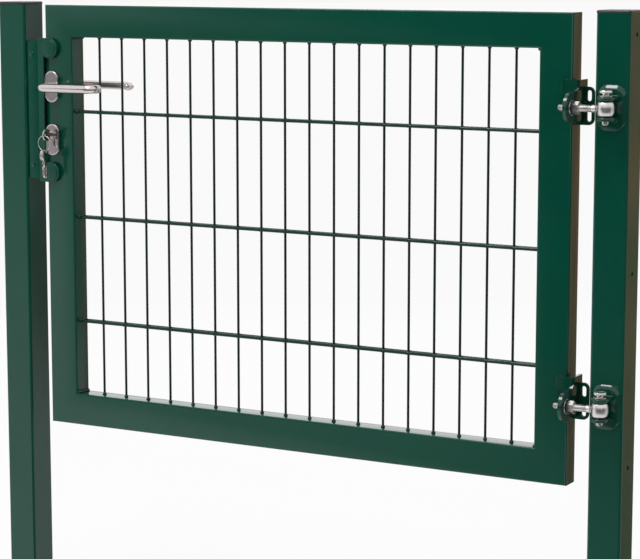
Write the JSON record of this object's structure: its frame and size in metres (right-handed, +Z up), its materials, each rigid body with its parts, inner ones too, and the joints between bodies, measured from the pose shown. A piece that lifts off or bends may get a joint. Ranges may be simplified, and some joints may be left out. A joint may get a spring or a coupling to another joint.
{
  "type": "welded mesh garden gate",
  "caption": "Low garden gate: a leaf of welded double-bar mesh in a tube frame, hung between two square posts on eye-bolt hinges, with a lever lock.",
  "frame": {"origin": "centre of the foot of the hinge post", "axes": "+X from the latch post towards the hinge post, +Y away from the front, +Z up; the leaf opens towards -Y"},
  "size_m": [1.2756, 0.16, 1.205],
  "materials": {
    "green_coat": "gloss",
    "zinc_plate": "satin",
    "stainless": "satin",
    "black_plastic": "matte",
    "buffer_rubber": "matte"
  },
  "bodies": {
    "posts": {"hinge_post": "green_coat", "hinge_post_cap": "black_plastic", "latch_post": "green_coat", "latch_post_cap": "black_plastic", "keep_box": "green_coat", "keep_screws": "green_coat", "upper_clevis": "green_coat", "lower_clevis": "green_coat", "upper_hinge_bolt": "zinc_plate", "lower_hinge_bolt": "zinc_plate"},
    "leaf": {"frame_top_rail": "green_coat", "frame_bottom_rail": "green_coat", "frame_latch_stile": "green_coat", "frame_hinge_stile": "green_coat", "mesh_panel": "green_coat", "upper_leaf_bracket": "green_coat", "lower_leaf_bracket": "green_coat", "upper_eye_bolt": "zinc_plate", "lower_eye_bolt": "zinc_plate", "clamping_nuts": "zinc_plate", "lock_nuts": "zinc_plate", "stud_washers": "black_plastic", "stop_plate": "green_coat", "stop_buffers": "buffer_rubber", "stop_screws": "green_coat", "lock_forend": "stainless", "lock_case": "stainless", "latch_tongue": "stainless", "dead_bolt": "stainless", "front_lever_rosette": "stainless", "rear_lever_rosette": "stainless", "front_cylinder_rosette": "stainless", "rear_cylinder_rosette": "stainless", "lock_cylinder": "stainless", "key": "stainless"},
    "levers": {"front_lever": "stainless", "rear_lever": "stainless", "lever_spindle": "zinc_plate"},
    "key_ring": {"key_ring": "zinc_plate", "spare_keys": "stainless"}
  },
  "joints": [
    {"name": "gate_swing", "type": "hinge", "parent": "posts", "child": "leaf", "pos_m": [0, -0.058, 1.046], "axis": [0, 0, 1], "range_deg": [0, 180]},
    {"name": "lever_turn", "type": "hinge", "parent": "leaf", "child": "levers", "pos_m": [-1.126, 0, 1.047], "axis": [0, 1, 0], "range_deg": [0, 40], "stiffness_Nm_per_rad": 1.5, "springref_deg": -20.05},
    {"name": "key_ring_swing", "type": "hinge", "parent": "leaf", "child": "key_ring", "pos_m": [-1.126, -0.0535, 0.957], "axis": [1, 0, 0], "range_deg": [-60, 10]}
  ]
}
